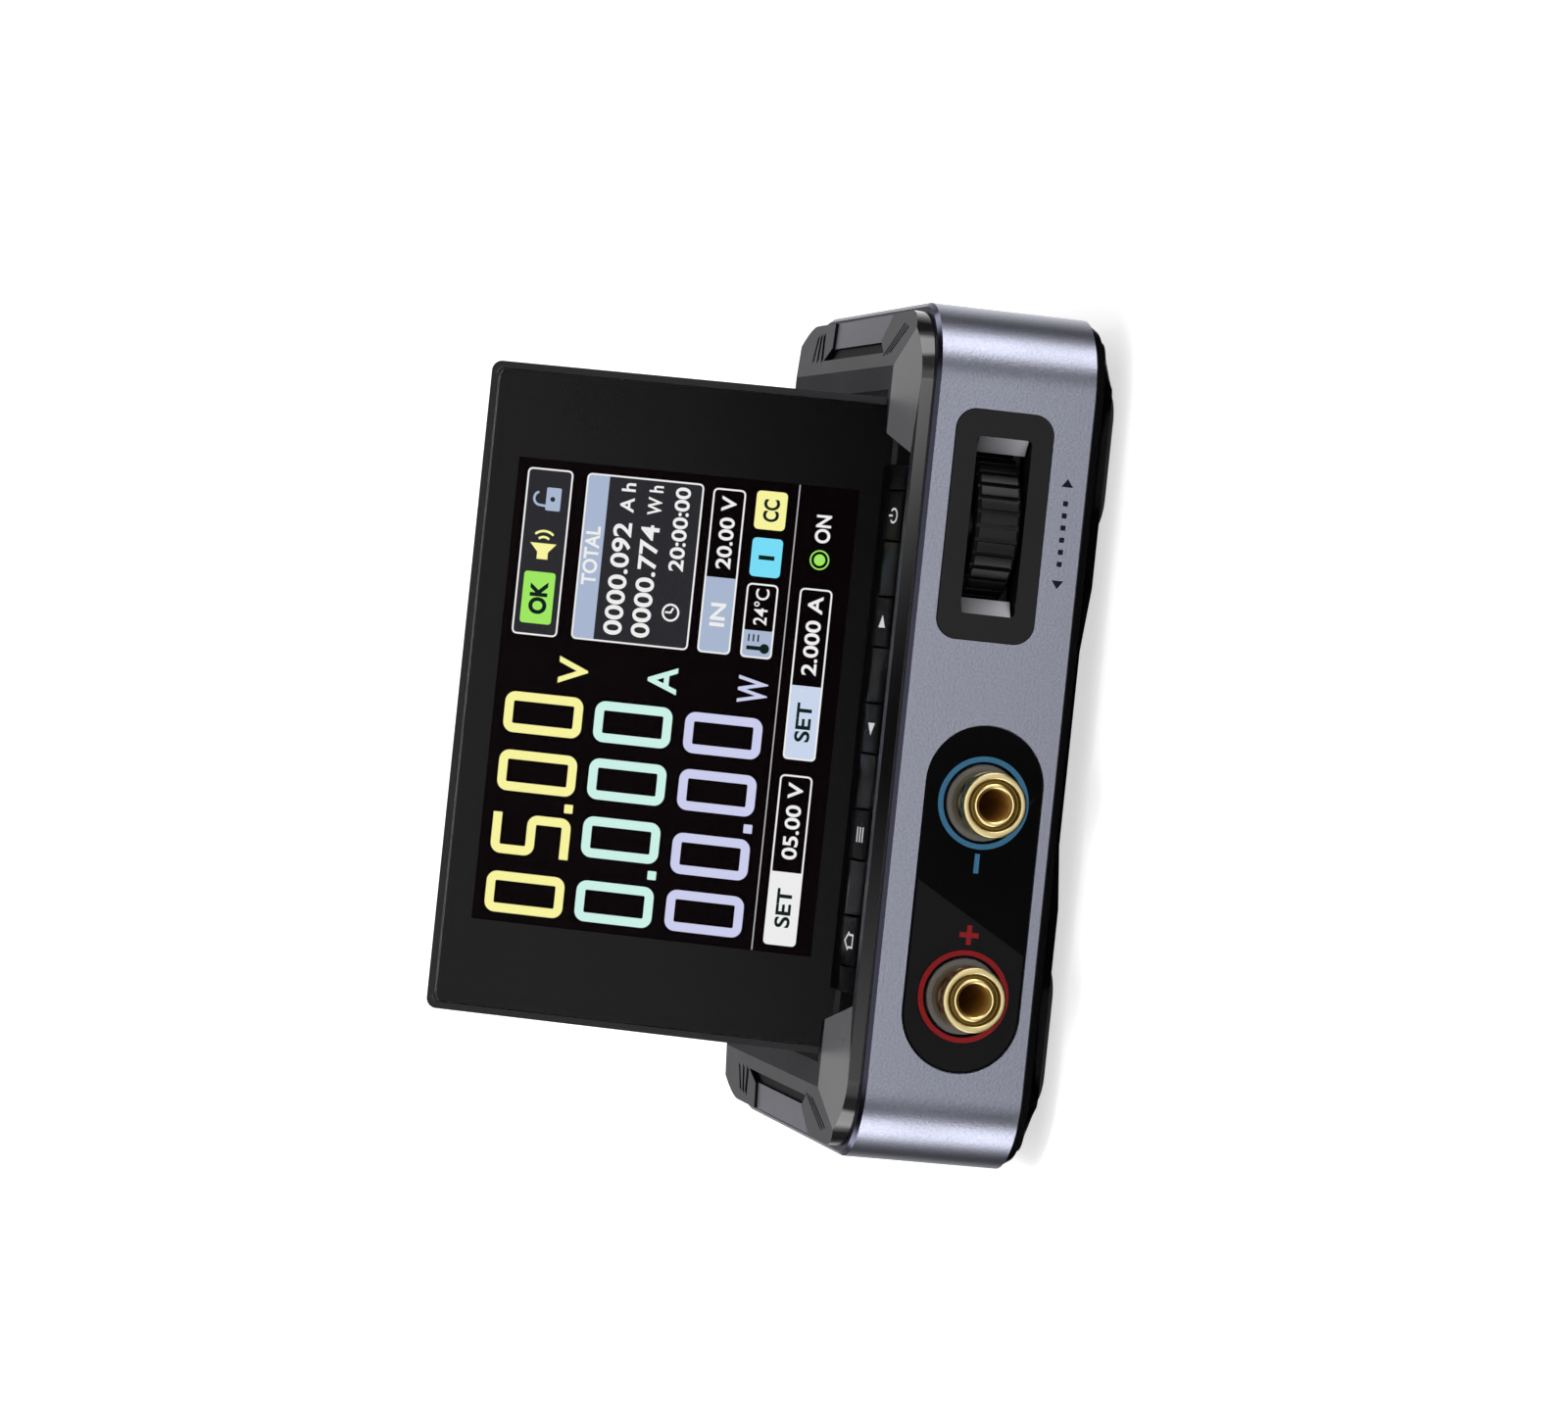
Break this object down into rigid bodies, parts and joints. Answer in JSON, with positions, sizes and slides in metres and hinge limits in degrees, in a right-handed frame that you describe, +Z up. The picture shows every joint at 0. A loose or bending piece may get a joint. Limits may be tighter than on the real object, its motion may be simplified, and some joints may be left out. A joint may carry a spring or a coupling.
{
  "type": "laboratory power supply",
  "caption": "Desktop laboratory power supply in an aluminium band, with a fold-down colour display, 4 mm output sockets, a pressable thumbwheel and a row of keys.",
  "frame": {"origin": "on the table under the middle of the outline, sockets included", "axes": "+X to the user's right, +Y from the user to the rear, +Z up"},
  "size_m": [0.106, 0.082, 0.0743],
  "materials": {
    "band_aluminium": "fine blasted, grey with a violet cast",
    "tray_plastic": "satin moulded",
    "foot_rubber": "matt",
    "screw_steel": "dark zinc",
    "panel_gloss": "high gloss",
    "ring_red": "satin paint",
    "ring_blue": "satin paint",
    "insulator_plastic": "satin",
    "socket_gold": "bright gold plating",
    "plated_steel": "bright nickel",
    "copper": "plain copper",
    "bezel_plastic": "fine texture",
    "inner_plastic": "plain moulded",
    "wheel_plastic": "satin",
    "board": "solder mask",
    "ferrite": "pressed powder",
    "can_aluminium": "plain",
    "chip_black": "moulded epoxy",
    "cover_plastic": "fine texture",
    "bar_plastic": "satin",
    "key_plastic": "satin",
    "display_plastic": "fine texture",
    "screen_module": "lit screen behind glass",
    "black_glass": "polished black glass"
  },
  "bodies": {
    "base": {"bottom_shell": "tray_plastic", "rubber_feet": "foot_rubber", "case_screws": "screw_steel", "frame_ring": "band_aluminium", "terminal_panel": "panel_gloss", "terminal_ring_positive": "ring_red", "terminal_ring_negative": "ring_blue", "jack_insulators": "insulator_plastic", "jack_positive": "socket_gold", "jack_negative": "socket_gold", "jack_washers": "insulator_plastic", "jack_nuts": "plated_steel", "output_straps": "copper", "encoder_bezel": "bezel_plastic", "encoder_switch": "inner_plastic", "encoder_board": "board", "main_board": "board", "board_screws": "screw_steel", "power_inductor": "ferrite", "capacitors": "can_aluminium", "power_transistors": "chip_black", "heat_spreader": "can_aluminium", "control_chips": "chip_black", "buzzer": "chip_black", "dc_inlet": "inner_plastic", "usb_c_socket": "plated_steel", "micro_usb_socket": "plated_steel", "key_board": "board", "key_switches": "plated_steel", "key_board_screws": "screw_steel", "top_cover": "cover_plastic", "key_bar": "bar_plastic", "hinge_brackets": "plated_steel", "bracket_screws": "screw_steel"},
    "display": {"hinge_pins": "plated_steel", "display_frame": "display_plastic", "lcd_module": "screen_module", "display_board": "board", "cover_glass": "black_glass", "display_back": "display_plastic", "display_screws": "screw_steel"},
    "home_key": {"key_home": "key_plastic"},
    "memory_key": {"key_memory": "key_plastic"},
    "left_key": {"key_left": "key_plastic"},
    "right_key": {"key_right": "key_plastic"},
    "output_key": {"key_output": "key_plastic"},
    "carrier": {"wheel_carrier": "inner_plastic", "wheel_axle": "plated_steel"},
    "wheel": {"thumbwheel": "wheel_plastic"}
  },
  "joints": [
    {"name": "display_fold", "type": "hinge", "parent": "base", "child": "display", "pos_m": [0, -0.0204, 0.0247], "axis": [1, 0, 0], "range_deg": [-67, 0]},
    {"name": "home_press", "type": "slide", "parent": "base", "child": "home_key", "axis": [0, 0, -1], "range_m": [0, 0.0004], "stiffness_N_per_m": 1500, "springref_m": -0.0003},
    {"name": "memory_press", "type": "slide", "parent": "base", "child": "memory_key", "axis": [0, 0, -1], "range_m": [0, 0.0004], "stiffness_N_per_m": 1500, "springref_m": -0.0003},
    {"name": "left_press", "type": "slide", "parent": "base", "child": "left_key", "axis": [0, 0, -1], "range_m": [0, 0.0004], "stiffness_N_per_m": 1500, "springref_m": -0.0003},
    {"name": "right_press", "type": "slide", "parent": "base", "child": "right_key", "axis": [0, 0, -1], "range_m": [0, 0.0004], "stiffness_N_per_m": 1500, "springref_m": -0.0003},
    {"name": "output_press", "type": "slide", "parent": "base", "child": "output_key", "axis": [0, 0, -1], "range_m": [0, 0.0004], "stiffness_N_per_m": 1500, "springref_m": -0.0003},
    {"name": "wheel_press", "type": "slide", "parent": "base", "child": "carrier", "axis": [0, 1, 0], "range_m": [0, 0.0005], "stiffness_N_per_m": 1500, "springref_m": -0.0003},
    {"name": "wheel_turn", "type": "hinge", "parent": "carrier", "child": "wheel", "pos_m": [0.0261, -0.0271, 0.0152], "axis": [0, 0, 1], "continuous": true}
  ]
}
